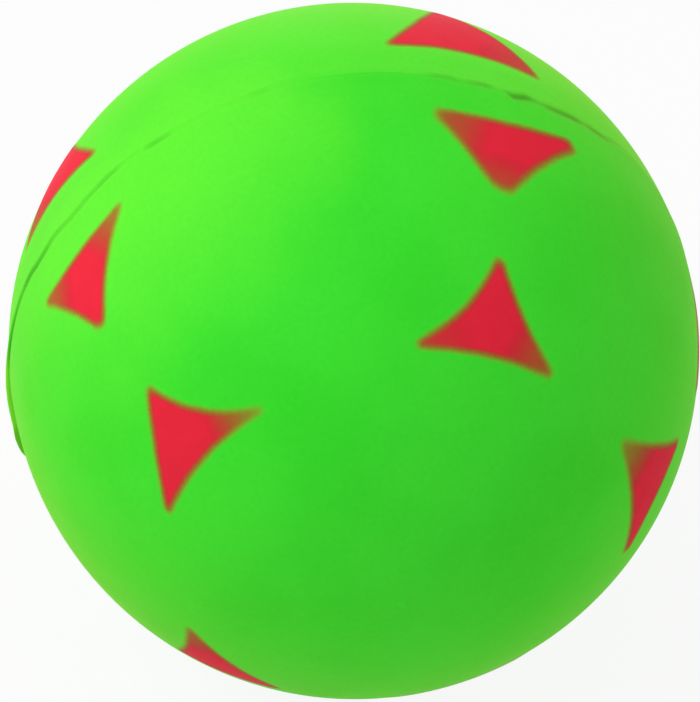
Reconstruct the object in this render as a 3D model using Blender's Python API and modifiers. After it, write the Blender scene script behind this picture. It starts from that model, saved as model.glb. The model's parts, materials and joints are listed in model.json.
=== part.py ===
"""Dog ball: two moulded rubber half shells cemented into a hollow ball, with sprayed three-cornered marks.

Metres, +Z up. The origin is the ball's centre. The mould's axis lies along Y, with the front pole at -Y
and the seam in the XZ plane, so a turned piece is drawn with its pole at +Z and then laid over.
"""

import math

import bmesh
import bpy
from mathutils import Matrix, Vector

# Ball
BALL_DIAMETER = 0.065
WALL_THICKNESS = 0.006

# Seam: a cement film between two flat rims, below the rounded rim edges that show as a groove
CEMENT_THICKNESS = 0.0002
CEMENT_INSET = 0.00025
CEMENT_CLEARANCE = 0.00005
RIM_EDGE_RADIUS = 0.00025
FLASH_HEIGHT = 0.00015
FLASH_WIDTH = 0.0014

# Vent pip that the mould leaves on each pole
PIP_DIAMETER = 0.0011
PIP_HEIGHT = 0.00018

# Self-sealing plug in its collar, inside the front pole
PLUG_DIAMETER = 0.006
PLUG_LENGTH = 0.0045
PLUG_CROWN = 0.0008
PLUG_CLEARANCE = 0.0001
COLLAR_WALL = 0.002
COLLAR_HEIGHT = 0.002
POCKET_DEPTH = 0.0035

# Sprayed marks: two rows on each half, in line along the same meridians
MARKS_IN_ROW = 5
INNER_ROW_ANGLE = math.radians(47.0)
INNER_MARK_WIDTH = 0.0138
INNER_MARK_HEIGHT = 0.0083
OUTER_ROW_ANGLE = math.radians(73.6)
OUTER_MARK_WIDTH = 0.0121
OUTER_MARK_HEIGHT = 0.0076
MARK_SIDE_BOW = 0.001
MARK_THICKNESS = 0.0001
MARK_CLEARANCE = 0.00005

# Each half was sprayed through its own stencil, which didn't sit quite square to the mould's axis
FIRST_COLUMN_ANGLE = {"front": math.radians(-1.6), "rear": math.radians(-0.5)}
STENCIL_TILT = {"front": math.radians(2.7), "rear": 0.0}
STENCIL_TILT_TOWARDS = math.radians(23.0)

# How far a mark landed from its place in the stencil's pattern: round the ball, then towards the seam
MARK_DRIFT = {
    "front_inner_mark_1": (0.0014, 0.0002),
    "front_inner_mark_3": (0.0007, -0.0002),
    "front_inner_mark_4": (0.0025, 0.0),
    "front_outer_mark_1": (0.0028, 0.0),
    "front_outer_mark_2": (-0.0019, -0.0004),
    "front_outer_mark_3": (0.0001, 0.0005),
    "rear_outer_mark_2": (-0.0008, 0.0002),
    "rear_outer_mark_3": (0.0008, 0.0002),
}

# How finely the round shapes are cut
TURN_STEPS = 60
OUTER_ARC_STEPS = 15
INNER_ARC_STEPS = 9
FLASH_STEPS = 2
EDGE_STEPS = 2
PIP_STEPS = 2
CROWN_STEPS = 3
MARK_CUTS = 6
MERGE_DISTANCE = 0.00001

# What follows from the sizes above
BALL_RADIUS = BALL_DIAMETER / 2
INNER_RADIUS = BALL_RADIUS - WALL_THICKNESS
RIM_OFFSET = CEMENT_THICKNESS / 2 + CEMENT_CLEARANCE
COLLAR_FACE = INNER_RADIUS - COLLAR_HEIGHT
POCKET_FLOOR = COLLAR_FACE + POCKET_DEPTH
POCKET_RADIUS = PLUG_DIAMETER / 2 + PLUG_CLEARANCE
QUARTER_TURN = math.pi / 2
HALF_SIDES = {"front": 1, "rear": -1}


def clear_scene():
    for thing in list(bpy.data.objects):
        bpy.data.objects.remove(thing, do_unlink=True)


def finish(name, colour, roughness):
    """A plain Principled material."""
    material = bpy.data.materials.new(name)
    material.use_nodes = True
    shader = material.node_tree.nodes["Principled BSDF"]
    shader.inputs["Base Color"].default_value = (*colour, 1.0)
    shader.inputs["Roughness"].default_value = roughness
    shader.inputs["Metallic"].default_value = 0.0
    return material


def add_object(name, data, collection, material=None):
    thing = bpy.data.objects.new(name, data)
    collection.objects.link(thing)
    if material:
        data.materials.clear()
        data.materials.append(material)
    return thing


def turned(name, profile, collection, material, closed=False):
    """A profile of (radius, height) points turned about Z. It runs down its outer side."""
    shape = bmesh.new()
    corners = [shape.verts.new((radius, 0.0, height)) for radius, height in profile]
    for start, end in zip(corners, corners[1:] + corners[:1] if closed else corners[1:]):
        shape.edges.new((start, end))
    mesh = bpy.data.meshes.new(name)
    shape.to_mesh(mesh)
    shape.free()
    piece = add_object(name, mesh, collection, material)
    screw = piece.modifiers.new("Turn", "SCREW")
    screw.axis = "Z"
    screw.angle = 2 * math.pi
    screw.steps = screw.render_steps = TURN_STEPS
    screw.use_merge_vertices = True
    screw.merge_threshold = MERGE_DISTANCE
    screw.use_smooth_shade = True
    piece.modifiers.new("Clean shading at the edges", "WEIGHTED_NORMAL")
    return piece


def other_leg(radius, leg):
    """How high a sphere's surface is at this distance from the axis, or how far out at this height."""
    return math.sqrt(radius**2 - leg**2)


def steps(start, end, count):
    """Values from start to end, both included."""
    return [start + (end - start) * i / count for i in range(count + 1)]


def smooth_rise(share):
    share = min(max(share, 0.0), 1.0)
    return share * share * (3 - 2 * share)


def skin_radius(height):
    """The half shell's outer radius from the ball's centre: the sphere, with the flash lip near the rim."""
    return BALL_RADIUS + FLASH_HEIGHT * smooth_rise(1 - (height - RIM_OFFSET) / FLASH_WIDTH)


def pip_profile():
    foot_radius = PIP_DIAMETER / 2
    foot_height = other_leg(BALL_RADIUS, foot_radius)
    return [
        (foot_radius * math.sin(angle), foot_height + PIP_HEIGHT * math.cos(angle))
        for angle in steps(0.0, QUARTER_TURN, PIP_STEPS)
    ]


def skin_profile():
    """The outer skin from the pip's foot to the start of the rounded rim edge."""
    flash_start = math.acos((RIM_OFFSET + FLASH_WIDTH) / BALL_RADIUS)
    edge_start = math.acos((RIM_OFFSET + RIM_EDGE_RADIUS) / BALL_RADIUS)
    angles = steps(math.asin(PIP_DIAMETER / 2 / BALL_RADIUS), flash_start, OUTER_ARC_STEPS)
    angles += steps(flash_start, edge_start, FLASH_STEPS)[1:]
    points = []
    for angle in angles[1:]:
        radius = skin_radius(BALL_RADIUS * math.cos(angle))
        points.append((radius * math.sin(angle), radius * math.cos(angle)))
    return points


def rim_edge_profile(edge_start):
    """The rounded outer edge of the rim, from the end of the skin down to the flat rim face."""
    centre = edge_start[0] - RIM_EDGE_RADIUS
    depth = edge_start[1] - RIM_OFFSET
    return [
        (centre + RIM_EDGE_RADIUS * math.cos(angle), edge_start[1] - depth * math.sin(angle))
        for angle in steps(0.0, QUARTER_TURN, EDGE_STEPS)[1:]
    ]


def inner_profile(top_angle):
    """The inner wall from the rim up to this angle from the axis."""
    rim_angle = math.acos(RIM_OFFSET / INNER_RADIUS)
    return [
        (INNER_RADIUS * math.sin(angle), INNER_RADIUS * math.cos(angle))
        for angle in steps(rim_angle, top_angle, INNER_ARC_STEPS)
    ]


def collar_profile():
    """The plug's collar and pocket, from the collar's foot on the inner wall to the pocket's floor."""
    collar_radius = POCKET_RADIUS + COLLAR_WALL
    return [
        (collar_radius, COLLAR_FACE),
        (POCKET_RADIUS, COLLAR_FACE),
        (POCKET_RADIUS, POCKET_FLOOR),
        (0.0, POCKET_FLOOR),
    ]


def add_half_shell(half, collection, material):
    outside = pip_profile() + skin_profile()
    outside += rim_edge_profile(outside[-1])
    if half == "front":
        collar_angle = math.asin((POCKET_RADIUS + COLLAR_WALL) / INNER_RADIUS)
        inside = inner_profile(collar_angle) + collar_profile()
    else:
        inside = inner_profile(0.0)
    shell = turned(f"{half}_half_shell", outside + inside, collection, material)
    shell.rotation_euler.x = HALF_SIDES[half] * QUARTER_TURN
    return shell


def add_seam_cement(collection, material):
    outer = BALL_RADIUS - CEMENT_INSET
    inner = other_leg(INNER_RADIUS, RIM_OFFSET) + CEMENT_INSET
    half = CEMENT_THICKNESS / 2
    section = [(outer, half), (outer, -half), (inner, -half), (inner, half)]
    ring = turned("seam_cement", section, collection, material, closed=True)
    ring.rotation_euler.x = QUARTER_TURN
    return ring


def add_sealing_plug(collection, material):
    radius = PLUG_DIAMETER / 2
    top = POCKET_FLOOR - PLUG_CLEARANCE
    shoulder = top - PLUG_LENGTH + PLUG_CROWN
    crown = [
        (radius * math.cos(angle), shoulder - PLUG_CROWN * math.sin(angle))
        for angle in steps(0.0, QUARTER_TURN, CROWN_STEPS)
    ]
    plug = turned("sealing_plug", [(0.0, top), (radius, top)] + crown, collection, material)
    plug.rotation_euler.x = HALF_SIDES["front"] * QUARTER_TURN
    return plug


def wrapped(point, radius):
    """A flat point, in arc lengths from the sphere's +Z pole, laid on the sphere."""
    reach = point.length
    if reach == 0.0:
        return Vector((0.0, 0.0, radius))
    flat = point * (radius * math.sin(reach / radius) / reach)
    return Vector((flat.x, flat.y, radius * math.cos(reach / radius)))


def mark_mesh(name, width, height, points_to):
    """A triangle with hollow sides, laid on the ball's +Z pole. Its tip points along X by the sign given."""
    corners = [
        Vector((height / 2, 0.0)) * points_to,
        Vector((-height / 2, width / 2)) * points_to,
        Vector((-height / 2, -width / 2)) * points_to,
    ]
    middle = sum(corners, Vector((0.0, 0.0))) / len(corners)
    shape = bmesh.new()
    bmesh.ops.create_circle(shape, cap_ends=True, segments=len(corners), radius=1.0)
    shape.verts.ensure_lookup_table()
    ends = [vert.co.copy() for vert in shape.verts]
    bmesh.ops.subdivide_edges(shape, edges=shape.edges[:], cuts=MARK_CUTS, use_grid_fill=True)
    for vert in shape.verts:
        shares = [(1 + 2 * vert.co.dot(end)) / 3 for end in ends]
        place = sum((corner * share for corner, share in zip(corners, shares)), Vector((0.0, 0.0)))
        for i in range(3):
            j, k = (i + 1) % 3, (i + 2) % 3
            inwards = (middle - (corners[j] + corners[k]) / 2).normalized()
            place += inwards * (4 * MARK_SIDE_BOW * shares[j] * shares[k])
        vert.co = wrapped(place, BALL_RADIUS + MARK_CLEARANCE)
    shape.normal_update()
    if sum(face.normal.z for face in shape.faces) < 0:
        bmesh.ops.reverse_faces(shape, faces=shape.faces[:])
    mesh = bpy.data.meshes.new(name)
    shape.to_mesh(mesh)
    shape.free()
    mesh.shade_smooth()
    return mesh


def add_stencil(half, collection):
    """An empty that carries one half's marks: laid over with the half shell, and tilted a little."""
    stencil = add_object(f"{half}_stencil", None, collection)
    towards = Matrix.Rotation(STENCIL_TILT_TOWARDS, 3, "Z")
    tilt = towards @ Matrix.Rotation(STENCIL_TILT[half], 3, "Y") @ towards.inverted()
    laid_over = Matrix.Rotation(HALF_SIDES[half] * QUARTER_TURN, 3, "X")
    stencil.rotation_euler = (laid_over @ tilt).to_euler()
    return stencil


def add_mark_row(half, row, mesh, row_angle, stencil, collection, material):
    for column in range(MARKS_IN_ROW):
        name = f"{half}_{row}_mark_{column + 1}"
        round_drift, seam_drift = MARK_DRIFT.get(name, (0.0, 0.0))
        from_pole = row_angle + seam_drift / BALL_RADIUS
        round_axis = FIRST_COLUMN_ANGLE[half] + column * 2 * math.pi / MARKS_IN_ROW
        round_axis += round_drift / (BALL_RADIUS * math.sin(from_pole))
        mark = add_object(name, mesh, collection, material)
        mark.parent = stencil
        mark.rotation_euler = (0.0, from_pole, HALF_SIDES[half] * round_axis)
        film = mark.modifiers.new("Paint film", "SOLIDIFY")
        film.thickness = MARK_THICKNESS
        film.offset = 1.0


def main():
    clear_scene()
    ball = bpy.data.collections.new("dog_ball")
    bpy.context.scene.collection.children.link(ball)
    rubber = finish("green_rubber", (0.055, 0.80, 0.035), 0.6)
    cement = finish("seam_cement", (0.03, 0.30, 0.02), 0.7)
    gum = finish("gum_rubber", (0.48, 0.27, 0.09), 0.55)
    paint = finish("red_paint", (0.85, 0.03, 0.055), 0.6)
    add_seam_cement(ball, cement)
    add_sealing_plug(ball, gum)
    inner_mark = mark_mesh("inner_mark", INNER_MARK_WIDTH, INNER_MARK_HEIGHT, 1)
    outer_mark = mark_mesh("outer_mark", OUTER_MARK_WIDTH, OUTER_MARK_HEIGHT, -1)
    for half in HALF_SIDES:
        add_half_shell(half, ball, rubber)
        stencil = add_stencil(half, ball)
        add_mark_row(half, "inner", inner_mark, INNER_ROW_ANGLE, stencil, ball, paint)
        add_mark_row(half, "outer", outer_mark, OUTER_ROW_ANGLE, stencil, ball, paint)


if __name__ == "__main__":
    main()
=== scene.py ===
"""Dog ball: the looks of a moulded, cemented and spray-marked rubber ball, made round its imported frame.

Metres, +Z up, in the frame's own place: the ball's centre is the origin, the mould's axis lies along Y with
the front pole at -Y, and the seam lies in the XZ plane. A place on the seam is given by its longitude, which
runs from +X towards +Z.
"""

import functools
import itertools
import json
import math
import random
from dataclasses import dataclass

import bpy
from bpy.props import FloatProperty, FloatVectorProperty, IntProperty, PointerProperty
from bpy.types import Operator, Panel, PropertyGroup
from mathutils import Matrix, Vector


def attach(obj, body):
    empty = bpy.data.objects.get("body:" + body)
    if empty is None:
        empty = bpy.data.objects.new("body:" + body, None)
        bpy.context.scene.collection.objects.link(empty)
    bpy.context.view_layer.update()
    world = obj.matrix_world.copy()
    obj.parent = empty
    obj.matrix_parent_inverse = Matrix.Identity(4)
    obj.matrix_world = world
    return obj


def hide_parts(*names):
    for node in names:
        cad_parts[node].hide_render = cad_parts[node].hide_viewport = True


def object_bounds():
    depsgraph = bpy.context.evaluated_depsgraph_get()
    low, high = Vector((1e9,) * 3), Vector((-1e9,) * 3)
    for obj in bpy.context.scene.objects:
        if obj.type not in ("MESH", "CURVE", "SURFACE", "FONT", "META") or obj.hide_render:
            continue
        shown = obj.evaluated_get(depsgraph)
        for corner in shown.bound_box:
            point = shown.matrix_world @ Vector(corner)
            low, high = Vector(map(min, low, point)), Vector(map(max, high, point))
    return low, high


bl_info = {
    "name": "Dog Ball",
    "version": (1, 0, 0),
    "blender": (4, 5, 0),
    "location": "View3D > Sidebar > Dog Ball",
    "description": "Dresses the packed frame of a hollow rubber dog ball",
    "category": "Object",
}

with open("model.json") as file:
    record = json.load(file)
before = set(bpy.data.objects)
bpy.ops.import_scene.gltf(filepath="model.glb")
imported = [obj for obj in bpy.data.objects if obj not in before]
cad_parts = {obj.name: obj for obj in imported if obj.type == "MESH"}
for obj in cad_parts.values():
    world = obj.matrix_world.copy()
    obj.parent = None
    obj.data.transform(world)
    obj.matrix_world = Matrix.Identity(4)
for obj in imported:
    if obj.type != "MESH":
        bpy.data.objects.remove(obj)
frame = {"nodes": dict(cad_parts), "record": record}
CAD_BOX = [list(corner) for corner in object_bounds()]

MM = 0.001
QUARTER_TURN = math.pi / 2
FULL_TURN = 2 * math.pi
WHITE = (1.0, 1.0, 1.0, 1.0)
CRADLE = next(mount for mount in frame["record"]["mounts"] if mount["name"] == "cradle")
BALL_RADIUS = -CRADLE["pos_m"][2]

# Which way along Y each half's pole lies
HALVES = {"front": -1, "rear": 1}
ROWS = ("inner", "outer")
MARKS_IN_ROW = 5

# How far from the seam the fine steps of the rim reach
RIM_REACH = 4 * MM
# Where a move sets in on the way out through the wall, and where it is full, as shares of the ball's radius
SQUEEZED_SKIN = (0.85, 0.97)
MOULDED_SKIN = (0.93, 0.985)
CEMENT_SKIN = (0.988, 0.996)
# How far the cement's cap lies below the skin, and its shoulder below the rim's rounding
CAP_SKIM = 0.006 * MM
CAP_SHOULDER = 0.05 * MM
# How far to each side the straying seam bends the skin, and how far the two halves' tones blend
STRAY_REACH = 3.5 * MM
TONE_BLEND = 0.1 * MM

CORNERS = 3
# Each corner of a mark, with the two that follow it
CORNER_TURNS = ((0, 1, 2), (1, 2, 0), (2, 0, 1))
CORNER_LABELS = ("Tip", "Low Foot", "High Foot")
TRAIT_LABELS = ("Bows", "Reach", "Thin")
# Makes t * (1 - t) reach 1 half-way along a side
ARCH = 4
# A mark's film: how often its flat start is halved, how far it spreads and how steeply its rim closes
FILM_HALVINGS = 6
FILM_SPREAD = 1.6
RIM_STEEPNESS = 20
# How softly two sides of a mark meet, and how softly they meet a blunt end
SIDE_BLEND = 0.5 * MM
END_BLEND = 0.9 * MM
# Where thin paint sets in along a spoke, and where it is thinnest, as shares of the spoke
WORN_SPAN = (0.26, 1.1)
# How deep a film's rim and its underside are sunk, and how far its face clears the skin
FILM_SINK = 0.012 * MM
FILM_BELLY = 0.03 * MM
FILM_SKIM = 0.008 * MM
# Where a film rises out of the rubber, outside its soft edge
RISE_START = 0.3 * MM
RISE_END = 0.05 * MM
# How far apart the seeds of two marks lie
SEED_STEP = 7

FLOOR_REACH = 1.5
FLOOR_WHITENESS = 0.9
LAMP_DISTANCE = 0.7
# How far to the right of the ball's centre the camera points
AIM_RIGHT = -0.32 * MM

# The seam as the photograph shows it, by longitude in degrees.
# How open the groove is, and how much dirt and painted shade darken it: 0 is filled flush with clean cement,
# 1 is bare to its full depth.
GROOVE_OPENNESS = (
    (0, 0.3), (38, 0.15), (42, 0.25), (46, 0.7), (49.6, 0.75), (50.5, 0.4), (51.4, 0.95), (55, 0.85),
    (58.4, 0.7), (59.5, 0.4), (60.8, 0.4), (61.6, 0.95), (65.4, 0.95), (66.2, 0.1), (68.3, 0.1), (69, 0.45),
    (72.4, 0.4), (73.2, 0.12), (74, 0.35), (78, 0.3), (80, 0.04), (103, 0.02), (104, 0.13), (106, 0.11),
    (107, 0.02), (119.6, 0.02), (120.5, 0.35), (124, 0.4), (125, 0.02), (129, 0.03), (130.5, 0.25),
    (134, 0.45), (141, 0.35), (147, 0.45), (152, 0.95), (157, 1.0), (159, 0.7), (164, 0.75), (172, 1.0),
    (188, 1.0), (205, 0.5), (240, 0.3), (270, 0.6), (310, 0.35), (360, 0.3),
)
# How wide the groove is, in millimetres
GROOVE_WIDTH = (
    (0, 1.2), (36, 1.6), (58, 1.9), (66, 1.7), (80, 1.4), (105, 1.2), (118, 1.0), (135, 1.0), (150, 1.3),
    (165, 1.3), (190, 1.0), (230, 1.0), (360, 1.2),
)
# How far the parting line strays towards the rear, in millimetres
SEAM_STRAY = (
    (0, 0.3), (34, 0.6), (41.5, 0.4), (45, -0.2), (47, -0.35), (51, -0.4), (55, -0.65), (59, -0.8),
    (61.5, -0.6), (63, -0.75), (64.7, -1.2), (65.6, -1.1), (66.5, -0.7), (70, -0.65), (72, -0.75),
    (75, -0.5), (79, -0.45), (95, -0.2), (107, -0.75), (115, -0.9), (123, -1.0), (130, -0.95), (134, -1.15),
    (138, -1.35), (142, -1.55), (147, -1.2), (150, -1.4), (154, -1.1), (157, -0.85), (167, -0.8),
    (180, -0.5), (200, 0.0), (250, -0.15), (310, 0.1), (360, 0.3),
)
# How far the rear half's flash stands proud of the seam, in millimetres: it thickens and then tears off
REAR_FLASH = (
    (0, 0.0), (158, 0.0), (166, 0.06), (173, 0.16), (178, 0.35), (184, 0.55), (190, 0.8), (195, 1.15),
    (197.2, 1.2), (198.8, 0.06), (206, 0.0), (282, 0.0), (290, 0.14), (301, 0.05), (318, 0.0), (360, 0.0),
)


@dataclass
class Spray:
    """How one mark came out of its stencil.

    The corners are the tip, then the feet at the lower and the higher longitude. A shift is how far a corner
    landed from its place, round the ball and towards the seam. A bow belongs to the side opposite its corner.
    Both are in millimetres. A reach below 1 is a blunt corner, and thin is how much paint the corner lacks.
    Soft is the width of the soft edge beside the usual one.
    """

    shifts: tuple
    bows: tuple
    reach: tuple = (1.02, 1.02, 1.02)
    thin: tuple = (0.0, 0.0, 0.0)
    soft: float = 1.0


# The nine marks that the photograph shows
SPRAYS = {
    "front_inner_mark_1": Spray(
        shifts=((0.35, 0.1), (-0.6, 0.3), (0.85, -0.7)), bows=(0.4, 0.4, 1.0), reach=(1.02, 0.91, 0.98),
        thin=(0, 0, 0.66), soft=1.15,
    ),
    "front_inner_mark_2": Spray(
        shifts=((-0.3, 0.35), (0.5, -0.5), (-0.8, 0.33)), bows=(0.58, 0.88, 0.7), reach=(0.98, 1.0, 1.0),
        thin=(0, 0.28, 0.05),
    ),
    "front_inner_mark_3": Spray(
        shifts=((-0.25, -0.15), (-0.15, -0.45), (0.25, 0.25)), bows=(1.05, 0.25, 1.2),
        reach=(1.02, 0.97, 1.0), thin=(0, 0.74, 0),
    ),
    "front_inner_mark_4": Spray(
        shifts=((-0.5, -1.2), (0.6, -0.36), (-0.3, -0.2)), bows=(0.15, -0.3, 0.6), reach=(1.02, 1.02, 0.95),
        thin=(0, 0.35, 0),
    ),
    "front_outer_mark_1": Spray(
        shifts=((-0.2, 0.0), (-0.8, 0.0), (1.2, -0.4)), bows=(0.5, 0.3, 0.5), thin=(0.3, 0, 0.5),
    ),
    "front_outer_mark_2": Spray(
        shifts=((1.1, -0.8), (-2.9, 0.8), (1.0, -0.05)), bows=(0.78, 0.2, 0.8), reach=(0.87, 0.75, 0.93),
        thin=(0.15, 0, 0.32), soft=1.3,
    ),
    "front_outer_mark_3": Spray(
        shifts=((0.85, -0.7), (0.08, 0.25), (-0.3, -0.5)), bows=(0.38, 0.45, 0.33), reach=(0.95, 1.02, 1.02),
        thin=(0, 0.36, 0.26),
    ),
    "rear_outer_mark_2": Spray(
        shifts=((-0.4, -4.3), (-0.8, 1.2), (1.4, 0.85)), bows=(0.28, 0.65, -0.4), reach=(1.08, 1.02, 1.02),
        thin=(0, 0.1, 0),
    ),
    "rear_outer_mark_3": Spray(
        shifts=((1.5, -2.7), (0.7, 0.9), (0.8, 1.1)), bows=(0.5, -0.1, 0.55), thin=(0, 0, 0.35),
    ),
}

# Each lamp's way from the ball, as shares of the camera's back, right and up, then its width and its light,
# which is a share of one of the stage's levels
LAMPS = {
    "key": ((0.62, -0.54, 0.56), 0.5, "key_level", 1.0),
    "rim": ((-0.75, 0.05, 0.62), 0.5, "rim_level", 1.0),
    "left_panel": ((-0.2, -0.9, 0.35), 0.3, "panel_level", 1.0),
    "right_panel": ((0.0, 0.95, 0.3), 0.3, "panel_level", 0.7),
}

# The parts of a finish that stay the same all over its piece
SHEEN = {"IOR": 1.35, "Sheen Roughness": 0.5}
RUBBER_SHEEN = SHEEN | {
    "Specular IOR Level": 0.08, "Specular Tint": (1.0, 0.85, 0.3, 1.0),
    "Sheen Weight": 0.22, "Sheen Tint": (1.0, 0.85, 0.02, 1.0),
}
PAINT_SHEEN = SHEEN | {
    "Specular IOR Level": 0.03, "Specular Tint": (1.0, 0.3, 0.3, 1.0),
    "Sheen Weight": 0.05, "Sheen Tint": (1.0, 0.08, 0.1, 1.0),
}


def settings_of(kind, **options):
    """A maker of like settings, each with a name, a description and a default of its own."""
    return lambda name, description, default: kind(
        name=name, description=description, default=default, **options,
    )


length_setting = settings_of(FloatProperty, subtype="DISTANCE", unit="LENGTH")
angle_setting = settings_of(FloatProperty, subtype="ANGLE", unit="ROTATION")
share_setting = settings_of(FloatProperty, min=0, max=1, subtype="FACTOR")
level_setting = settings_of(FloatProperty, min=0)
seed_setting = settings_of(IntProperty)
colour_setting = settings_of(FloatVectorProperty, size=3, min=0, max=1, subtype="COLOR")


class BallShape(PropertyGroup):
    """Sizes of the moulded halves."""

    radius: length_setting("Ball radius", "Radius of the plain round skin", BALL_RADIUS)
    wall: length_setting("Wall", "Thickness of the rubber wall", 6 * MM)
    rim_gap: length_setting("Rim gap", "From the seam's plane to each half's flat rim", 0.15 * MM)
    rim_rounding: length_setting("Rim rounding", "Radius of the rim's outer edge", 0.25 * MM)
    pip_diameter: length_setting("Pip diameter", "The vent pip that the mould leaves on each pole", 1.1 * MM)
    pip_height: length_setting("Pip height", "How far the vent pip stands up", 0.1 * MM)
    collar_diameter: length_setting("Collar diameter", "Outside of the front half's plug collar", 10.2 * MM)
    pocket_diameter: length_setting("Pocket diameter", "Inside of the plug's collar", 6.2 * MM)
    collar_height: length_setting("Collar height", "How far the collar stands into the hollow", 2 * MM)
    pocket_depth: length_setting("Pocket depth", "From the collar's face to the pocket's floor", 3.5 * MM)
    squeeze: share_setting("Squeeze", "How much narrower the ball is across X, as a share", 0.0105)
    turn_steps: IntProperty(
        name="Turn steps", description="Facets once round the mould's axis", default=480, min=24,
    )


class SeamShape(PropertyGroup):
    """Sizes of the seam's groove, its cement and its lip."""

    cap_width: length_setting("Cap width", "Width of the cement's cap over the rims", 1.2 * MM)
    groove_depth: length_setting("Groove depth", "Depth of the groove where it is bare", 0.1 * MM)
    cement_thickness: length_setting("Cement thickness", "Thickness of the film between the rims", 0.2 * MM)
    lip_height: length_setting("Lip height", "How far both rims swell beside the groove", 0.08 * MM)
    lip_width: length_setting("Lip width", "How far from the seam a lip reaches", 1.8 * MM)
    slip: length_setting("Slip", "How far each half sits to its own side of the middle", 0.04 * MM)
    seed: seed_setting("Seed", "Draw of the seam's small unevenness", 7)


class RubberLook(PropertyGroup):
    """Colours and grain of the green rubber, the cement and the plug."""

    green: colour_setting("Green", "The rubber's own colour", (0.047, 0.80, 0.034))
    deep_green: colour_setting("Deep green", "The rubber where its pigment is denser", (0.037, 0.76, 0.028))
    # Painted light: a yellower, brighter green on the side that the key lamp lights, also used for the rear
    # half's tone
    faded_green: colour_setting("Faded green", "The rubber where the sun faded it", (0.105, 0.86, 0.036))
    # Painted light: the side towards the key lamp, which is made yellower and brighter
    lit_side: FloatVectorProperty(
        name="Sun side", description="Which side of the ball the sun has yellowed",
        default=(-0.62, -0.22, 0.75), size=3, subtype="DIRECTION",
    )
    # The rear half's yellower tone is partly its own and partly painted light where the light grazes the top
    rear_fade: share_setting("Rear fade", "How much yellower the rear half is than the front", 0.5)
    # Painted sheen: a paler, yellower green for the lit flash
    flash_green: colour_setting("Flash green", "The rubber where it thins into flash", (0.26, 0.88, 0.04))
    # Partly dirt and partly painted shade: darkens the open groove and the end where the flash tore
    grime: colour_setting("Grime", "What gathers in the open groove", (0.018, 0.33, 0.010))
    grime_cover: share_setting("Grime cover", "How much of a bare groove's rubber the grime hides", 0.85)
    gum: colour_setting("Gum", "Soft rubber of the sealing plug", (0.48, 0.27, 0.09))
    mould_dust: colour_setting("Mould dust", "What dusts the sealing plug", (0.7, 0.66, 0.58))
    roughness: share_setting("Roughness", "Roughness of the moulded skin", 0.58)
    grain_size: length_setting("Grain size", "Width of the skin's finest grain", 0.32 * MM)
    grain_depth: length_setting("Grain depth", "Depth of the skin's finest grain", 0.006 * MM)


class PaintLook(PropertyGroup):
    """Colour and film of the sprayed marks."""

    red: colour_setting("Red", "The paint's own colour", (0.84, 0.024, 0.05))
    smoother: share_setting("Smoother", "How much less rough the paint is than the rubber", 0.06)
    overspray: length_setting("Overspray", "Half the width of the soft edge", 0.48 * MM)
    film: length_setting("Film", "Thickness of the paint in the middle of a mark", 0.04 * MM)
    bleed: length_setting("Bleed", "How far the paint crept under the stencil's edge", 0.25 * MM)
    wander: length_setting("Edge wander", "How far an edge strays from its stencil", 0.12 * MM)
    seed: seed_setting("Seed", "Draw of the marks that the photograph doesn't show", 5)


class StageSet(PropertyGroup):
    """Camera and light."""

    azimuth: angle_setting("Azimuth", "Camera's place round the ball; 0 looks along +Y", math.radians(-7.45))
    elevation: angle_setting("Elevation", "Camera's height above the floor, as an angle", math.radians(42.3))
    distance: length_setting("Distance", "Camera to the ball's centre", 0.26)
    lens: FloatProperty(
        name="Lens", description="Focal length on a 36 mm sensor", default=141.8,
        subtype="DISTANCE_CAMERA", unit="CAMERA",
    )
    sky_level: level_setting("Sky level", "Strength of the even light from all round", 0.555)
    key_level: level_setting("Key level", "Light of the key lamp on a surface that faces it", 0.53)
    rim_level: level_setting("Rim level", "Light of the rim lamp on a surface that faces it", 0.22)
    panel_level: level_setting("Panel level", "Light of a side panel on a surface that faces it", 0.07)
    floor_colour: colour_setting("Floor", "Colour of the floor", (0.79, 0.79, 0.79))


class Field:
    """One socket that takes part in Python arithmetic: every operator adds a Math node to its tree."""

    def __init__(self, bench, socket):
        self.bench = bench
        self.socket = socket

    def __add__(self, other):
        return self.bench.math("ADD", self, other)

    __radd__ = __add__

    def __sub__(self, other):
        return self.bench.math("SUBTRACT", self, other)

    def __rsub__(self, other):
        return self.bench.math("SUBTRACT", other, self)

    def __mul__(self, other):
        return self.bench.math("MULTIPLY", self, other)

    __rmul__ = __mul__

    def __truediv__(self, other):
        return self.bench.math("DIVIDE", self, other)

    def __pow__(self, other):
        return self.bench.math("POWER", self, other)

    def __neg__(self):
        return self.bench.math("MULTIPLY", self, -1.0)

    def __abs__(self):
        return self.bench.math("ABSOLUTE", self)


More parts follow.
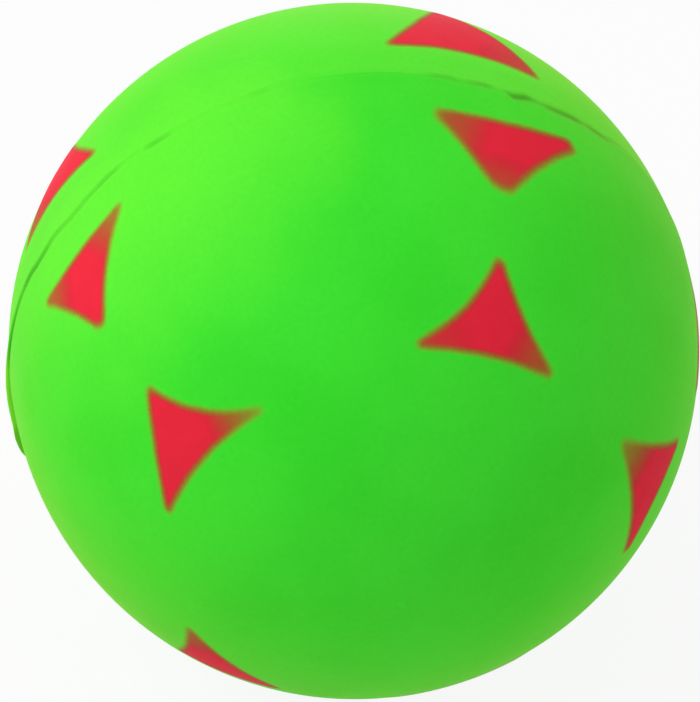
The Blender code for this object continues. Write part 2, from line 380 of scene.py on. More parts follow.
class Bench:
    """A node tree under construction, for a material or for a shape."""

    def __init__(self, tree):
        self.tree = tree

    def add(self, kind, settings=None, sockets=None, output=None):
        """One node: its settings first, then its sockets' values or links. Gives one of its outputs."""
        node = self.tree.nodes.new(kind)
        for name, value in (settings or {}).items():
            if name == "curve":
                self.draw_curve(node, value)
            else:
                setattr(node, name, value)
        for name, value in (sockets or {}).items():
            socket = self.pick(node.inputs, name)
            for item in value if isinstance(value, list) else [value]:
                if isinstance(item, Field):
                    self.tree.links.new(item.socket, socket)
                else:
                    socket.default_value = item
        return Field(self, self.pick(node.outputs, output)) if node.outputs else None

    @staticmethod
    def pick(sockets, name):
        """The socket in use that has this name or number, or the first one."""
        if isinstance(name, int):
            return sockets[name]
        return next(socket for socket in sockets if socket.enabled and name in (None, socket.name))

    @staticmethod
    def draw_curve(node, points):
        """Sets a Float Curve node to run through these points."""
        node.mapping.use_clip = False
        line = node.mapping.curves[0].points
        while len(line) < len(points):
            line.new(0.0, 0.0)
        for point, place in zip(line, points):
            point.location = place
            point.handle_type = "AUTO_CLAMPED"
        node.mapping.update()

    def math(self, operation, *values):
        return self.add("ShaderNodeMath", {"operation": operation}, dict(enumerate(values)))

    def folded(self, operation, values, *settings):
        """Many values taken together by an operation on two of them, such as MINIMUM."""
        return functools.reduce(lambda first, second: self.math(operation, first, second, *settings), values)

    def clamped(self, value):
        """A value kept from 0 to 1."""
        return self.math("MINIMUM", self.math("MAXIMUM", value, 0.0), 1.0)

    def vector(self, operation, *values):
        return self.add("ShaderNodeVectorMath", {"operation": operation}, dict(enumerate(values)))

    def scaled(self, vector, factor):
        return self.add("ShaderNodeVectorMath", {"operation": "SCALE"}, {"Vector": vector, "Scale": factor})

    def summed(self, vectors):
        return functools.reduce(lambda first, second: self.vector("ADD", first, second), vectors)

    def axes(self, vector):
        """The three parts of a vector."""
        return [self.add("ShaderNodeSeparateXYZ", {}, {"Vector": vector}, axis) for axis in "XYZ"]

    def combined(self, **parts):
        """A vector of its parts along X, Y and Z. A part that isn't named is 0."""
        return self.add("ShaderNodeCombineXYZ", {}, parts)

    def smooth(self, value, low, high, start=0.0, end=1.0):
        """A soft step from start to end as the value goes from low to high."""
        span = {"Value": value, "From Min": low, "From Max": high, "To Min": start, "To Max": end}
        return self.add("ShaderNodeMapRange", {"interpolation_type": "SMOOTHSTEP"}, span)

    def noise(self, place, size, detail=2.0, seed=0.0):
        """Soft noise from 0 to 1 whose lumps are about this size."""
        sockets = {"Vector": place, "W": seed, "Scale": 1 / size, "Detail": detail}
        return self.add("ShaderNodeTexNoise", {"noise_dimensions": "4D"}, sockets)

    def varied(self, place, size, span, about=1.0, detail=2.0, seed=0.0):
        """A value that varies over a span about its middle, in lumps of about this size."""
        return (self.noise(place, size, detail, seed) - 0.5) * span + about

    def mix(self, factor, first, second):
        """A colour between two colours."""
        settings = {"data_type": "RGBA", "clamp_factor": True}
        return self.add("ShaderNodeMix", settings, {"Factor": factor, "A": first, "B": second})

    def bump(self, height, distance, **under):
        """A normal roughened by a height, on top of a Normal where one is given."""
        sockets = {"Height": height, "Distance": distance, "Strength": 1.0}
        return self.add("ShaderNodeBump", {}, sockets | under)

    def object_place(self):
        return self.add("ShaderNodeTexCoord", {}, {}, "Object")

    def attribute(self, name):
        """A number that the piece's own tree has stored."""
        return self.add("ShaderNodeAttribute", {"attribute_name": name}, {}, "Fac")


class ShapeBench(Bench):
    """A Geometry Nodes tree with named inputs."""

    KINDS = {float: "NodeSocketFloat", int: "NodeSocketInt", Vector: "NodeSocketVector"}
    COMMON = {"Ball Radius": float, "Squeeze": float, "Slip": float, "Seed": int}

    def __init__(self, name, inputs):
        super().__init__(bpy.data.node_groups.new(name, "GeometryNodeTree"))
        face = self.tree.interface
        face.new_socket("Geometry", in_out="OUTPUT", socket_type="NodeSocketGeometry")
        face.new_socket("Geometry", in_out="INPUT", socket_type="NodeSocketGeometry")
        for label, kind in (self.COMMON | inputs).items():
            face.new_socket(label, in_out="INPUT", socket_type=self.KINDS[kind])
        face.new_socket("Material", in_out="INPUT", socket_type="NodeSocketMaterial")
        self.group_input = self.tree.nodes.new("NodeGroupInput")
        self.place = self.add("GeometryNodeInputPosition")

    def given(self, label):
        """A named input of the tree."""
        return Field(self, self.group_input.outputs[label])

    def in_skin(self, span):
        """0 deep in the wall and 1 in the skin, over this span of shares of the ball's radius."""
        return self.smooth(self.vector("LENGTH", self.place) / self.given("Ball Radius"), *span)

    def on_rear(self, place):
        """1 on the rear half and 0 on the front half."""
        return self.smooth(self.axes(place)[1], -TONE_BLEND, TONE_BLEND)

    def stored(self, shape, **values):
        """The shape with these numbers kept at each of its points."""
        for name, value in values.items():
            sockets = {"Geometry": shape, "Name": name, "Value": value}
            shape = self.add("GeometryNodeStoreNamedAttribute", {"data_type": "FLOAT"}, sockets)
        return shape

    def moved(self, shape, offset):
        return self.add("GeometryNodeSetPosition", {}, {"Geometry": shape, "Offset": offset})

    def welded(self, shape, distance):
        return self.add("GeometryNodeMergeByDistance", {}, {"Geometry": shape, "Distance": distance})

    def smooth_shaded(self, shape):
        return self.add("GeometryNodeSetShadeSmooth", {"domain": "FACE"}, {"Geometry": shape})

    def finish(self, shape, slip_share=1.0):
        """Closes the tree: out of round as the ball's skin is, realised and in its material."""
        x = self.axes(self.place)[0]
        aside = (self.given("Slip") * slip_share - x * self.given("Squeeze")) * self.in_skin(SQUEEZED_SKIN)
        shape = self.moved(shape, self.combined(X=aside))
        shape = self.add("GeometryNodeRealizeInstances", {}, {"Geometry": shape})
        sockets = {"Geometry": shape, "Material": self.given("Material")}
        shape = self.add("GeometryNodeSetMaterial", {}, sockets)
        self.add("NodeGroupOutput", {}, {"Geometry": shape})
        return self.tree


def linked(name, data):
    """A new object in the scene."""
    thing = bpy.data.objects.new(name, data)
    bpy.context.scene.collection.objects.link(thing)
    return thing


def made_by_nodes(name, mesh, tree, values):
    """An object whose plain mesh is what the tree makes of a starting mesh."""
    piece = linked(name, mesh)
    shaper = piece.modifiers.new(tree.name, "NODES")
    shaper.node_group = tree
    for item in tree.interface.items_tree:
        if item.in_out == "INPUT" and item.name in values:
            shaper[item.identifier] = values[item.name]
    depsgraph = bpy.context.evaluated_depsgraph_get()
    made = bpy.data.meshes.new_from_object(piece.evaluated_get(depsgraph))
    made.name = name
    piece.modifiers.remove(shaper)
    piece.data = made
    bpy.data.meshes.remove(mesh)
    return piece


def seat(piece, node):
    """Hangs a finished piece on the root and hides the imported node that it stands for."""
    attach(piece, "root")
    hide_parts(node)


def section_mesh(name, points, closed=False):
    """A cross-section as a line of (out from the skin, along the axis) points, for the turning tree."""
    count = len(points)
    edges = [(i, (i + 1) % count) for i in range(count if closed else count - 1)]
    mesh = bpy.data.meshes.new(name)
    mesh.from_pydata([(out, along, 0.0) for out, along in points], edges, [])
    return mesh


def steps(start, end, count):
    """Values from start to end, both included."""
    return [start + (end - start) * i / count for i in range(count + 1)]


def arc(radius, angles):
    """Points of a circle about the ball's centre, at these angles from the pole."""
    return [(radius * math.sin(angle), radius * math.cos(angle)) for angle in angles]


def other_leg(radius, leg):
    """How high a sphere's surface is at this distance from the axis, or how far out at this height."""
    return math.sqrt(radius**2 - leg**2)


def half_section(half, shape):
    """A half shell's section from the inner pole, over the rim and back to the outer pole."""
    inner = shape.radius - shape.wall
    rim_angle = math.acos(shape.rim_gap / inner)
    top_angle = 0.0
    points = []
    if half == "front":
        collar, pocket = shape.collar_diameter / 2, shape.pocket_diameter / 2
        face = inner - shape.collar_height
        floor = face + shape.pocket_depth
        points += [(0.0, floor), (pocket, floor), (pocket, face), (collar, face)]
        top_angle = math.asin(collar / inner)
    points += arc(inner, steps(top_angle, rim_angle, count=24))
    centre = shape.rim_gap + shape.rim_rounding
    shoulder = other_leg(shape.radius, centre) - shape.rim_rounding
    for angle in steps(QUARTER_TURN, 0.0, count=6):
        out = shoulder + shape.rim_rounding * math.cos(angle)
        points.append((out, centre - shape.rim_rounding * math.sin(angle)))
    edge_angle = math.acos(centre / shape.radius)
    fine_angle = math.acos(RIM_REACH / shape.radius)
    foot = shape.pip_diameter / 2
    foot_angle = math.asin(foot / shape.radius)
    points += arc(shape.radius, steps(edge_angle, fine_angle, count=24)[1:])
    points += arc(shape.radius, steps(fine_angle, foot_angle, count=64)[1:])
    for share in steps(1.0, 0.0, count=6)[1:]:
        swell = math.cos(share * QUARTER_TURN) ** 2
        points.append((foot * share, other_leg(shape.radius, foot * share) + shape.pip_height * swell))
    return [(out - shape.radius, along) for out, along in points]


def bead_section(shape, seam):
    """The cement's closed section: a cap that fills the groove, on the thin film between the rims."""
    half_width = seam.cap_width / 2
    half_film = seam.cement_thickness / 2
    inner = other_leg(shape.radius - shape.wall, shape.rim_gap) + shape.rim_rounding - shape.radius
    shoulder = -shape.rim_rounding - CAP_SHOULDER
    cap = [
        (other_leg(shape.radius, along) - shape.radius - CAP_SKIM, along)
        for along in steps(-half_width, half_width, count=20)
    ]
    return cap + [(shoulder, half_film), (inner, half_film), (inner, -half_film), (shoulder, -half_film)]


class Seam:
    """What the turned pieces share along the seam, as fields on their bench."""

    INPUTS = {
        "Side": float, "Turn Steps": int, "Lip Height": float, "Lip Width": float, "Groove Depth": float,
    }

    def __init__(self, bench):
        self.bench = bench
        x, y, z = bench.axes(bench.place)
        self.rearward = y
        self.away = abs(y)
        self.longitude = bench.math("FRACT", bench.math("ARCTAN2", z, x) / FULL_TURN + 1.0)
        self.out = bench.vector("NORMALIZE", bench.combined(X=x, Z=z))

    def along(self, points, scale=1.0):
        """A value that listed (degrees, value) points give along the seam."""
        curve = [(angle / 360, value) for angle, value in points]
        return self.bench.add("ShaderNodeFloatCurve", {"curve": curve}, {"Value": self.longitude}) * scale

    def beside(self, reach):
        """1 on the seam and 0 this far from it."""
        return self.bench.smooth(self.away, 0.0, reach, start=1.0, end=0.0)

    def uneven(self, size, span, about, draw):
        """A value that varies along the seam over a span about its middle, in lumps of this size."""
        place = self.bench.scaled(self.out, self.bench.given("Ball Radius"))
        return self.bench.varied(place, size, span, about, detail=3.0, seed=self.bench.given("Seed") + draw)

    def groove(self):
        """How hollow the seam is: 1 in the middle of a bare groove, 0 on the clean skin."""
        openness = self.along(GROOVE_OPENNESS) * self.uneven(2.5 * MM, span=0.9, about=1.0, draw=23.0)
        openness = self.bench.math("MAXIMUM", openness, 0.0)
        return openness * self.beside(self.along(GROOVE_WIDTH, MM / 2))

    def swell(self, hollow):
        """How far both rims swell beside the groove, less the groove itself."""
        lip = self.bench.given("Lip Height") * self.uneven(9 * MM, span=1.6, about=0.6, draw=3.0)
        return lip - self.bench.given("Groove Depth") * hollow

    def flash(self):
        """How far the ragged flash stands up, on the half that has it."""
        ragged = self.uneven(2.2 * MM, span=0.36, about=1.0, draw=11.0)
        return self.along(REAR_FLASH, MM) * ragged * self.bench.given("Flash")

    def pressed_into(self, body, raised, skin):
        """The body with its skin raised beside the seam and bent along the axis with the straying seam."""
        bench = self.bench
        out = bench.scaled(self.out, raised * self.beside(bench.given("Lip Width")))
        stray = self.along(SEAM_STRAY, MM) + self.uneven(5 * MM, span=0.1 * MM, about=0.0, draw=0.0)
        moves = bench.vector("ADD", out, bench.combined(Y=stray * self.beside(STRAY_REACH)))
        return bench.smooth_shaded(bench.moved(body, bench.scaled(moves, bench.in_skin(skin))))


def turned(bench):
    """The starting section turned about Z and laid over, with its pole at the side given along Y."""
    section = bench.add("GeometryNodeMeshToCurve", {}, {"Mesh": bench.given("Geometry")})
    sockets = {"Resolution": bench.given("Turn Steps"), "Radius": bench.given("Ball Radius")}
    ring = bench.add("GeometryNodeCurvePrimitiveCircle", {}, sockets)
    body = bench.add("GeometryNodeCurveToMesh", {}, {"Curve": ring, "Profile Curve": section})
    lean = bench.combined(X=bench.given("Side") * QUARTER_TURN)
    sockets = {"Geometry": bench.welded(body, distance=0.0005 * MM), "Rotation": lean}
    return bench.add("GeometryNodeTransform", {}, sockets)


def half_shell_tree():
    """Turns a half shell's section and works the seam's lip and flash into its rim."""
    bench = ShapeBench("Half shell", Seam.INPUTS | {"Flash": float})
    seam = Seam(bench)
    hollow = seam.groove()
    flash = seam.flash()
    shown_flash = flash * seam.beside(bench.given("Lip Width")) / MM
    body = bench.stored(turned(bench), hollow=hollow, flash=shown_flash, rear=bench.on_rear(bench.place))
    return bench.finish(seam.pressed_into(body, seam.swell(hollow) + flash, MOULDED_SKIN))


def cement_tree():
    """Turns the cement's section and sinks its cap into the groove, more or less along the seam."""
    bench = ShapeBench("Seam cement", Seam.INPUTS | {"Cap Width": float})
    seam = Seam(bench)
    hollow = seam.groove()
    body = bench.stored(turned(bench), hollow=hollow, rear=bench.on_rear(bench.place))
    body = seam.pressed_into(body, seam.swell(hollow), CEMENT_SKIN)
    half_width = bench.given("Cap Width") / 2
    return bench.finish(body, bench.smooth(seam.rearward, -half_width, half_width, start=1.0, end=-1.0))


class Mark:
    """What a sprayed mark's tree works out between its three corners, as fields on its bench."""

    INPUTS = {
        **dict.fromkeys(CORNER_LABELS + TRAIT_LABELS, Vector),
        "Overspray": float, "Film": float, "Bleed": float, "Wander": float,
    }

    def __init__(self, bench):
        self.bench = bench
        self.radius = bench.given("Ball Radius")
        self.corners = [bench.given(label) for label in CORNER_LABELS]
        self.bows, self.reach, self.thin = (bench.axes(bench.given(label)) for label in TRAIT_LABELS)
        self.middle = bench.scaled(bench.summed(self.corners), 1 / CORNERS)
        self.spokes = [bench.vector("SUBTRACT", corner, self.middle) for corner in self.corners]
        self.lengths = [bench.vector("LENGTH", spoke) for spoke in self.spokes]
        self.shares = [self.corner_share(FULL_TURN * i / CORNERS) for i in range(CORNERS)]
        self.out = self.way_out()
        self.spot = bench.scaled(self.out, self.radius)
        self.towards = [self.way_along(spoke) for spoke in self.spokes]

    def corner_share(self, angle):
        """How much a corner counts at a point of the flat start: 1 at the corner, 0 on the side across."""
        end = (math.cos(angle), math.sin(angle), 0.0)
        return (self.bench.vector("DOT_PRODUCT", self.bench.place, end) * 2 + 1) / CORNERS

    def way_out(self):
        """Which way from the ball's centre a point of the flat start goes."""
        bench = self.bench
        parts = []
        for i, j, k in CORNER_TURNS:
            spread = bench.scaled(self.spokes[i], self.reach[i] * FILM_SPREAD)
            parts.append(bench.scaled(bench.vector("ADD", self.middle, spread), self.shares[i]))
            side = bench.scaled(bench.vector("ADD", self.corners[j], self.corners[k]), 0.5)
            inwards = bench.vector("NORMALIZE", bench.vector("SUBTRACT", self.middle, side))
            parts.append(bench.scaled(inwards, ARCH * self.bows[i] * self.shares[j] * self.shares[k]))
        return bench.vector("NORMALIZE", bench.summed(parts))

    def way_along(self, spoke):
        """How far a point lies from the mark's middle towards a corner."""
        from_middle = self.bench.vector("SUBTRACT", self.spot, self.middle)
        return self.bench.vector("DOT_PRODUCT", from_middle, self.bench.vector("NORMALIZE", spoke))

    def edge(self):
        """How far inside the mark's edge a point lies, with bowed sides and blunt ends."""
        bench = self.bench
        insides = []
        for i, j, k in CORNER_TURNS:
            square = bench.vector("CROSS_PRODUCT", self.corners[j], self.corners[k])
            height = bench.vector("DOT_PRODUCT", self.out, bench.vector("NORMALIZE", square))
            side = bench.vector("SUBTRACT", self.corners[k], self.corners[j])
            start = bench.vector("SUBTRACT", self.spot, self.corners[j])
            along = bench.vector("DOT_PRODUCT", start, side) / bench.vector("DOT_PRODUCT", side, side)
            along = bench.clamped(along)
            bow = ARCH * self.bows[i] * along * (1 - along)
            insides.append(self.radius * bench.math("ARCSINE", height) - bow)
        inside = bench.folded("SMOOTH_MIN", insides, SIDE_BLEND) + bench.given("Bleed")
        ends = [self.lengths[i] * self.reach[i] - self.towards[i] for i in range(CORNERS)]
        edge = bench.folded("SMOOTH_MIN", [inside, *ends], END_BLEND)
        lumps = bench.noise(self.spot, size=2.6 * MM, seed=bench.given("Seed")) * 2 - 1
        return edge + lumps * bench.given("Wander")

    def lack(self):
        """How much of the paint is missing at a point."""
        spokes = zip(self.towards, self.lengths, self.thin)
        return sum(self.bench.smooth(way / length, *WORN_SPAN) * thin for way, length, thin in spokes)

    def heights(self, edge):
        """How high above the skin the film's face lies, and its underside."""
        bench = self.bench
        spray = bench.given("Overspray")
        risen = bench.smooth(edge, -RISE_START - spray, -RISE_END - spray)
        coat = bench.smooth(edge, -spray, spray)
        within = bench.clamped(bench.folded("MINIMUM", self.shares) * RIM_STEEPNESS)
        face = (risen * (FILM_SINK + FILM_SKIM) + coat * bench.given("Film")) * within - FILM_SINK
        return face, -FILM_SINK - FILM_BELLY * within


def paint_mark_tree():
    """A film of sprayed paint between three corners on the ball, with its edges sunk into the rubber.

    It stores where each point lies across the mark's soft edge, from -1 outside to 1 inside, and how thin
    the paint is there.
    """
    bench = ShapeBench("Sprayed mark", Mark.INPUTS)
    mark = Mark(bench)
    edge = mark.edge()
    flat = bench.add("GeometryNodeMeshCircle", {"fill_type": "NGON"}, {"Vertices": CORNERS, "Radius": 1.0})
    flat = bench.add("GeometryNodeSubdivideMesh", {}, {"Mesh": flat, "Level": FILM_HALVINGS})
    flat = bench.stored(
        flat, edge=edge / bench.given("Overspray"), thin=mark.lack(), rear=bench.on_rear(mark.out),
    )
    sides = []
    for height in mark.heights(edge):
        sockets = {"Geometry": flat, "Position": bench.scaled(mark.out, mark.radius + height)}
        sides.append(bench.add("GeometryNodeSetPosition", {}, sockets))
    sides[1] = bench.add("GeometryNodeFlipFaces", {}, {"Mesh": sides[1]})
    film = bench.add("GeometryNodeJoinGeometry", {}, {"Geometry": sides})
    film = bench.smooth_shaded(bench.welded(film, distance=0.0001 * MM))
    sockets = {"Mesh": film, "Custom Normal": bench.vector("NORMALIZE", bench.place)}
    film = bench.add("GeometryNodeSetMeshNormal", {"mode": "FREE", "domain": "POINT"}, sockets)
    return bench.finish(film)


def mark_corners(node):
    """A packed mark's corners on the unit sphere: its tip, then its feet by rising longitude."""
    points = [vert.co.normalized() for vert in frame["nodes"][node].data.vertices]
    middle = sum(points, Vector()).normalized()
    found = []
    for _ in range(CORNERS):
        known = found or [middle]
        found.append(max(points, key=lambda point: min((point - other).length for other in known)))
    mean = sum(point.y for point in found) / CORNERS
    tip = max(found, key=lambda point: abs(point.y - mean))
    feet = [point for point in found if point is not tip]
    eastwards = Vector((-middle.z, 0.0, middle.x))
    feet.sort(key=lambda point: point.dot(eastwards))
    return [tip, *feet]


def shifted(corner, shift, side):
    """A corner on the unit sphere moved by millimetres round the ball and towards the seam."""
    east = Vector((-corner.z, 0.0, corner.x)).normalized()
    seamwards = east.cross(corner)
    if seamwards.y * side >= 0:
        seamwards = -seamwards
    return (corner + (east * shift[0] + seamwards * shift[1]) * (MM / BALL_RADIUS)).normalized()


def random_spray(draw):
    """A mark that the photograph doesn't show, as uneven as those that it does."""
    return Spray(
        shifts=tuple((draw.uniform(-0.5, 0.5), draw.uniform(-0.4, 0.4)) for _ in range(CORNERS)),
        bows=tuple(draw.uniform(0.5, 1.4) for _ in range(CORNERS)),
        reach=tuple(draw.choice((0.9, 1.0, 1.05)) for _ in range(CORNERS)),
        thin=tuple(draw.choice((0.0, 0.0, 0.15, 0.45)) for _ in range(CORNERS)),
        soft=draw.uniform(0.9, 1.3),
    )


def new_material(name):
    """An empty node material, with the bench to build it on."""
    material = bpy.data.materials.new(name)
    material.use_nodes = True
    material.node_tree.nodes.clear()
    return material, Bench(material.node_tree)


def principled(bench, sockets):
    return bench.add("ShaderNodeBsdfPrincipled", {}, sockets)


def close_material(bench, shader):
    bench.add("ShaderNodeOutputMaterial", {}, {"Surface": shader})


def rgba(colour, level=1.0):
    """A colour for a socket, made lighter or darker by a level."""
    return (*(part * level for part in colour), 1.0)


def rubber_skin(bench, look):
    """Colour, roughness and normal of the rubber, alike on every piece: dirt and painted shade in the open
    groove, painted light on the lit side.
    """
    place = bench.object_place()
    cloud = bench.smooth(bench.noise(place, size=13 * MM, detail=3.0), low=0.38, high=0.66)
    colour = bench.mix(cloud, rgba(look.green), rgba(look.deep_green))
    # Painted light: the side that faces the key lamp turns yellower and brighter, and the rear half partly so
    facing = bench.vector("DOT_PRODUCT", bench.vector("NORMALIZE", place), tuple(look.lit_side))
    ragged = bench.varied(place, size=22 * MM, span=0.5, about=0.0, detail=3.0, seed=15.0)
    painted_lit_side = bench.smooth(facing + ragged, low=0.78, high=1.02)
    lit_and_rear_yellowing = bench.math("MAXIMUM", painted_lit_side, bench.attribute("rear") * look.rear_fade)
    colour = bench.mix(lit_and_rear_yellowing, colour, rgba(look.faded_green))
    colour = bench.scaled(colour, bench.varied(place, size=0.5 * MM, span=0.1, seed=4.0))
    # Dirt and painted shade darken the open groove
    colour = bench.mix(bench.attribute("hollow") * look.grime_cover, colour, rgba(look.grime))
    roughness = bench.varied(place, size=5 * MM, span=0.14, about=look.roughness, detail=4.0, seed=9.0)
    ripple = bench.noise(place, size=7 * MM, detail=1.0, seed=6.0)
    grain = bench.noise(place, look.grain_size, detail=3.0, seed=2.0)
    normal = bench.bump(grain, look.grain_depth, Normal=bench.bump(ripple, distance=0.06 * MM))
    return {"Base Color": colour, "Roughness": roughness, "Normal": normal}


def green_rubber(look):
    """Matte moulded rubber with a warm bloom at grazing angles, with a painted sheen on the flash, and dirt
    with painted shade where the flash tore.
    """
    material, bench = new_material("green_rubber")
    skin = rubber_skin(bench, look)
    flash = bench.attribute("flash")
    # Painted sheen pales the flash, and painted shade with dirt darkens it where the flash tore
    pale = bench.smooth(flash, low=0.1, high=0.35, end=0.9)
    torn_dirt_and_shade = bench.smooth(flash, low=0.65, high=1.0, end=0.5)
    colour = bench.mix(pale, skin["Base Color"], rgba(look.flash_green))
    skin["Base Color"] = bench.mix(torn_dirt_and_shade, colour, rgba(look.grime))
    close_material(bench, principled(bench, skin | RUBBER_SHEEN))
    return material


def seam_cement(look):
    """Green rubber cement, which dries to the colour of the rubber."""
    material, bench = new_material("seam_cement")
    close_material(bench, principled(bench, rubber_skin(bench, look) | RUBBER_SHEEN))
    return material


def gum_rubber(look):
    """Soft tan plug rubber, a little cloudy and dusted with mould release."""
    material, bench = new_material("gum_rubber")
    place = bench.object_place()
    cloud = bench.noise(place, size=2.5 * MM, detail=3.0)
    dust = bench.noise(place, size=0.25 * MM, seed=3.0)
    colour = bench.mix(cloud, rgba(look.gum, level=0.8), rgba(look.gum, level=1.2))
    colour = bench.mix(bench.smooth(dust, low=0.62, high=0.8, end=0.4), colour, rgba(look.mould_dust))
    normal = bench.bump(dust, distance=0.01 * MM)
    sockets = {"Base Color": colour, "Roughness": cloud * 0.2 + 0.45, "Normal": normal}
    close_material(bench, principled(bench, sockets))
    return material


def sprayed_paint(rubber, paint):
    """Red paint on the green rubber: full inside the mark, and thinning out over its soft edge."""
    material, bench = new_material("red_paint")
    skin = rubber_skin(bench, rubber)
    place = bench.object_place()
    mist = bench.varied(place, size=0.28 * MM, span=0.45, about=0.0, seed=8.0)
    cover = bench.smooth(bench.attribute("edge") + mist, low=-1.0, high=1.0)
    patch = bench.noise(place, size=1.8 * MM, detail=3.0, seed=12.0)
    patchy = (patch - 0.5) * 0.8 + 1.0
    cover = bench.clamped(cover * (1 - bench.attribute("thin") * patchy))
    red = bench.mix(patch, rgba(paint.red, level=0.92), rgba(paint.red, level=1.08))
    # Half-covering paint looks darker than either colour
    muddy = 1 - cover * (1 - cover) ** 0.5
    film = dict(skin)
    film["Base Color"] = bench.scaled(red, muddy)
    film["Roughness"] = skin["Roughness"] - paint.smoother
    skin["Base Color"] = bench.scaled(skin["Base Color"], muddy)
    shaders = {0: cover, 1: principled(bench, skin | RUBBER_SHEEN), 2: principled(bench, film | PAINT_SHEEN)}
    close_material(bench, bench.add("ShaderNodeMixShader", {}, shaders))
    return material


class DogBallOperator(Operator):
    """What the makers share."""

    bl_options = {"REGISTER", "UNDO"}

    @staticmethod
    def turned_values(shape, seam):
        """The tree values that both halves and the cement have alike."""
        return {
            "Ball Radius": shape.radius, "Squeeze": shape.squeeze, "Turn Steps": shape.turn_steps,
            "Lip Height": seam.lip_height, "Lip Width": seam.lip_width, "Groove Depth": seam.groove_depth,
            "Seed": seam.seed,
        }


class MakeHalfShells(DogBallOperator):
    """Makes the two moulded half shells with the lip and flash along their rims"""

    bl_idname = "dog_ball.half_shells"
    bl_label = "Half Shells"

    def execute(self, context):
        scene = context.scene
        shape, seam = scene.ball_shape, scene.seam_shape
        tree = half_shell_tree()
        rubber = green_rubber(scene.rubber_look)
        for half, side in HALVES.items():
            section = section_mesh("half section", half_section(half, shape))
            shell = made_by_nodes(f"{half}_rubber_half", section, tree, self.turned_values(shape, seam) | {
                "Side": float(side), "Slip": -side * seam.slip, "Flash": 1.0 if half == "rear" else 0.0,
                "Material": rubber,
            })
            seat(shell, f"{half}_half_shell")
        return {"FINISHED"}


class MakeSeamCement(DogBallOperator):
    """Makes the cement that fills the seam's groove"""

    bl_idname = "dog_ball.seam_cement"
    bl_label = "Seam Cement"

    def execute(self, context):
        scene = context.scene
        shape, seam = scene.ball_shape, scene.seam_shape
        section = section_mesh("bead section", bead_section(shape, seam), closed=True)
        bead = made_by_nodes("cement_bead", section, cement_tree(), self.turned_values(shape, seam) | {
            "Side": 1.0, "Slip": seam.slip, "Cap Width": seam.cap_width,
            "Material": seam_cement(scene.rubber_look),
        })
        seat(bead, "seam_cement")
        return {"FINISHED"}


class FinishSealingPlug(DogBallOperator):
    """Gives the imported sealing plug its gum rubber"""

    bl_idname = "dog_ball.sealing_plug"
    bl_label = "Sealing Plug"

    def execute(self, context):
        plug = frame["nodes"]["sealing_plug"]
        plug.material_slots[0].material = gum_rubber(context.scene.rubber_look)
        return {"FINISHED"}


class MakePaintMarks(DogBallOperator):
    """Makes the twenty sprayed marks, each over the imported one"""

    bl_idname = "dog_ball.paint_marks"
    bl_label = "Paint Marks"

    def execute(self, context):
        scene = context.scene
        shape, paint = scene.ball_shape, scene.paint_look
        tree = paint_mark_tree()
        draw = random.Random(paint.seed)
        alike = {
            "Ball Radius": shape.radius, "Squeeze": shape.squeeze, "Film": paint.film, "Bleed": paint.bleed,
            "Wander": paint.wander, "Material": sprayed_paint(scene.rubber_look, paint),
        }
        places = itertools.product(HALVES, ROWS, range(1, MARKS_IN_ROW + 1))
        for count, (half, row, column) in enumerate(places, start=1):
            node = f"{half}_{row}_mark_{column}"
            side = HALVES[half]
            # Every mark takes its draws, so that setting one leaves the others as they are
            drawn = random_spray(draw)
            spray = SPRAYS.get(node, drawn)
            values = alike | self.own_values(node, side, spray, shape.radius) | {
                "Slip": -side * scene.seam_shape.slip, "Seed": count * SEED_STEP,
                "Overspray": paint.overspray * spray.soft,
            }
            name = f"{half}_{row}_paint_{column}"
            mark = made_by_nodes(name, bpy.data.meshes.new("start"), tree, values)
            seat(mark, node)
        return {"FINISHED"}

    @staticmethod
    def own_values(node, side, spray, radius):
        """The tree's values for one mark, with its corners in the order that faces outwards."""
        corners = [shifted(c, s, side) * radius for c, s in zip(mark_corners(node), spray.shifts)]
        bows, reach, thin = [bow * MM for bow in spray.bows], list(spray.reach), list(spray.thin)
        if corners[0].dot(corners[1].cross(corners[2])) < 0:
            for row in (corners, bows, reach, thin):
                row[1], row[2] = row[2], row[1]
        return dict(zip(CORNER_LABELS + TRAIT_LABELS, (*corners, bows, reach, thin)))


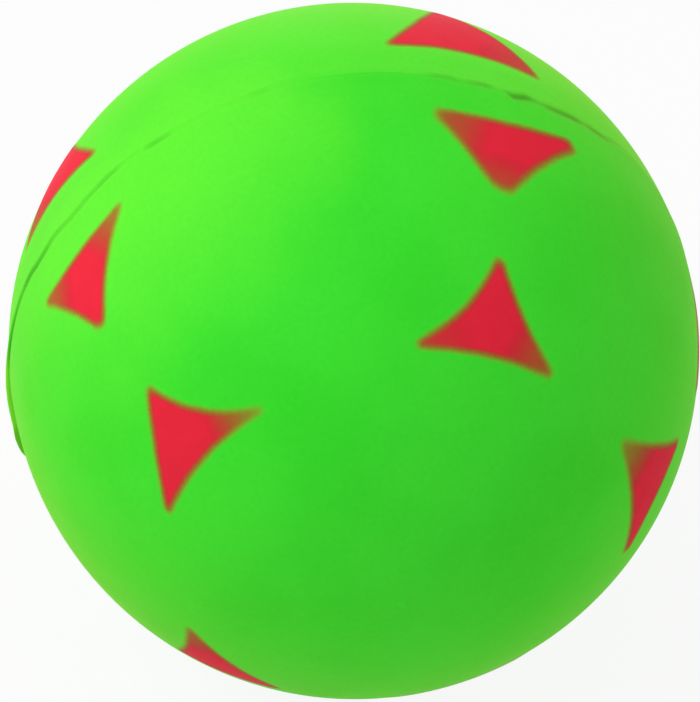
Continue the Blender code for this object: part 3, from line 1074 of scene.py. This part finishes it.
class SetStage(DogBallOperator):
    """Sets the floor, the light and the camera"""

    bl_idname = "dog_ball.stage"
    bl_label = "Stage"

    def execute(self, context):
        scene = context.scene
        stage = scene.stage_set
        scene.view_settings.view_transform = "Standard"
        self.light_sky(scene, stage)
        self.lay_floor(stage)
        back, right, up = self.camera_axes(stage)
        for name, (way, width, level, share) in LAMPS.items():
            towards = back * way[0] + right * way[1] + up * way[2]
            self.hang_lamp(name, towards, width, getattr(stage, level) * share)
        self.place_camera(scene, stage, back, right)
        return {"FINISHED"}

    @staticmethod
    def camera_axes(stage):
        around, above = stage.azimuth, stage.elevation
        level = math.cos(above)
        back = Vector((math.sin(around) * level, -math.cos(around) * level, math.sin(above)))
        right = Vector((math.cos(around), math.sin(around), 0.0))
        return back, right, back.cross(right)

    @staticmethod
    def seen_directly(bench):
        """1 for what the camera sees itself, in a reflection or through glass."""
        kinds = ("Camera", "Glossy", "Transmission")
        rays = [bench.add("ShaderNodeLightPath", {}, {}, f"Is {kind} Ray") for kind in kinds]
        return bench.folded("MAXIMUM", rays)

    def light_sky(self, scene, stage):
        scene.world = bpy.data.worlds.new("studio")
        scene.world.use_nodes = True
        scene.world.node_tree.nodes.clear()
        bench = Bench(scene.world.node_tree)
        level = self.seen_directly(bench) * (1 - stage.sky_level) + stage.sky_level
        sky = bench.add("ShaderNodeBackground", {}, {"Color": WHITE, "Strength": level})
        bench.add("ShaderNodeOutputWorld", {}, {"Surface": sky})

    def lay_floor(self, stage):
        height = CAD_BOX[0][2]
        mesh = bpy.data.meshes.new("floor")
        ways = ((-1, -1), (1, -1), (1, 1), (-1, 1))
        mesh.from_pydata([(x * FLOOR_REACH, y * FLOOR_REACH, height) for x, y in ways], [], [(0, 1, 2, 3)])
        material, bench = new_material("pale_floor")
        pale = bench.add("ShaderNodeBsdfDiffuse", {}, {"Color": rgba(stage.floor_colour)})
        white = bench.add("ShaderNodeEmission", {}, {"Color": WHITE, "Strength": 1.0})
        share = self.seen_directly(bench) * FLOOR_WHITENESS
        close_material(bench, bench.add("ShaderNodeMixShader", {}, {0: share, 1: pale, 2: white}))
        mesh.materials.append(material)
        linked("floor", mesh)

    @staticmethod
    def hang_lamp(name, towards, width, level):
        """A round lamp that gives this much light to a surface that faces it."""
        lamp = bpy.data.lights.new(name, "AREA")
        lamp.shape = "DISK"
        lamp.size = width
        lamp.energy = level * math.pi**2 * LAMP_DISTANCE**2
        hung = linked(name, lamp)
        hung.location = towards.normalized() * LAMP_DISTANCE
        hung.rotation_euler = towards.to_track_quat("Z", "Y").to_euler()

    @staticmethod
    def place_camera(scene, stage, back, right):
        camera = bpy.data.cameras.new("camera")
        camera.lens = stage.lens
        camera.sensor_width = 36.0
        camera.clip_start = 0.01
        eye = linked("camera", camera)
        eye.location = right * AIM_RIGHT + back * stage.distance
        eye.rotation_euler = back.to_track_quat("Z", "Y").to_euler()
        scene.camera = eye


class DogBallPanel(Panel):
    """Lists the ball's sizes and colours, and the makers of its pieces"""

    bl_idname = "VIEW3D_PT_dog_ball"
    bl_label = "Dog Ball"
    bl_space_type = "VIEW_3D"
    bl_region_type = "UI"
    bl_category = "Dog Ball"

    def draw(self, context):
        for name in SETTINGS:
            group = getattr(context.scene, name)
            box = self.layout.box()
            box.label(text=name.replace("_", " ").capitalize())
            for key in group.__annotations__:
                box.prop(group, key)
        for maker in MAKERS:
            self.layout.operator(maker.bl_idname)


SETTINGS = {
    "ball_shape": BallShape,
    "seam_shape": SeamShape,
    "rubber_look": RubberLook,
    "paint_look": PaintLook,
    "stage_set": StageSet,
}
MAKERS = (MakeHalfShells, MakeSeamCement, FinishSealingPlug, MakePaintMarks, SetStage)
CLASSES = (*SETTINGS.values(), *MAKERS, DogBallPanel)


def register():
    for kind in CLASSES:
        bpy.utils.register_class(kind)
    for name, group in SETTINGS.items():
        setattr(bpy.types.Scene, name, PointerProperty(type=group))


def unregister():
    for name in SETTINGS:
        delattr(bpy.types.Scene, name)
    for kind in reversed(CLASSES):
        bpy.utils.unregister_class(kind)


def main():
    register()
    bpy.ops.dog_ball.half_shells()
    bpy.ops.dog_ball.seam_cement()
    bpy.ops.dog_ball.sealing_plug()
    bpy.ops.dog_ball.paint_marks()
    bpy.ops.dog_ball.stage()


if __name__ == "__main__":
    main()
